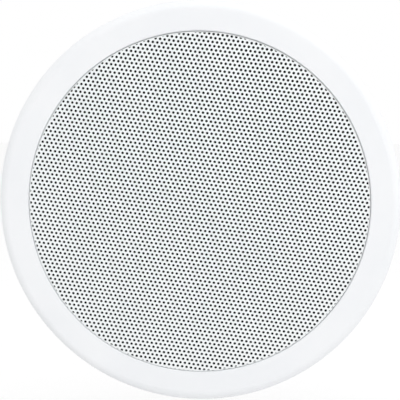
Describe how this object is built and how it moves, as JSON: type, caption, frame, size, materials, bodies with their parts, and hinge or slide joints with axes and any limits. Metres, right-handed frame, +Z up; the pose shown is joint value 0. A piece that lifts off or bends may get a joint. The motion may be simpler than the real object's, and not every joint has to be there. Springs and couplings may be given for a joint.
{
  "type": "surface-mount speaker",
  "caption": "Round surface-mount loudspeaker with a white rim and perforated grille, a drum housing and a twist-lock wall plate.",
  "frame": {"origin": "centre of the wall-screw circle, on the wall plane at the back of the wall plate", "axes": "+Y into the wall that the speaker hangs on, +Z up, the grille faces -Y, +X to the right seen from the front"},
  "size_m": [0.224, 0.084, 0.224],
  "materials": {
    "white_plastic": "satin",
    "housing_plastic": "satin",
    "grille_paint": "satin",
    "acoustic_cloth": "matte",
    "zinc_screws": "satin",
    "basket_paint": "satin",
    "foam_rubber": "matte",
    "ring_plastic": "matte",
    "surround_rubber": "satin",
    "cone_paper": "matte",
    "spider_cloth": "matte",
    "former_film": "satin",
    "copper_wire": "gloss",
    "plated_steel": "satin",
    "galvanised_steel": "satin",
    "ferrite": "matte",
    "hard_fibre": "matte",
    "brass_parts": "satin",
    "black_plastic": "satin",
    "nickel_magnet": "gloss",
    "dome_film": "gloss",
    "board_laminate": "satin",
    "capacitor_film": "gloss",
    "cement_resistor": "matte",
    "lead_jacket": "satin",
    "red_lead": "satin",
    "yellow_lead": "satin",
    "wadding": "matte",
    "grommet_rubber": "matte"
  },
  "bodies": {
    "root": {"front_bezel": "white_plastic", "housing": "housing_plastic", "grille": "grille_paint", "grille_cloth": "acoustic_cloth", "bezel_screws": "zinc_screws", "driver_screws": "zinc_screws", "board_screws": "zinc_screws", "block_screws": "zinc_screws", "lock_screw": "zinc_screws", "basket": "basket_paint", "driver_gasket": "foam_rubber", "front_ring": "ring_plastic", "surround": "surround_rubber", "cone": "cone_paper", "spider": "spider_cloth", "coil_former": "former_film", "voice_coil": "copper_wire", "inductor_winding": "copper_wire", "tinsel_leads": "copper_wire", "top_plate": "plated_steel", "yoke": "plated_steel", "wall_plate": "galvanised_steel", "magnet": "ferrite", "terminal_strip": "hard_fibre", "terminal_tags": "brass_parts", "block_contacts": "brass_parts", "tweeter_post": "black_plastic", "tweeter_cup": "black_plastic", "tweeter_face": "black_plastic", "inductor_bobbin": "black_plastic", "input_block": "black_plastic", "tweeter_magnet": "nickel_magnet", "tweeter_dome": "dome_film", "crossover_board": "board_laminate", "capacitor": "capacitor_film", "resistor": "cement_resistor", "input_lead": "lead_jacket", "woofer_leads": "red_lead", "tweeter_lead": "yellow_lead", "damping_pad": "wadding", "cable_grommet": "grommet_rubber"}
  },
  "joints": []
}
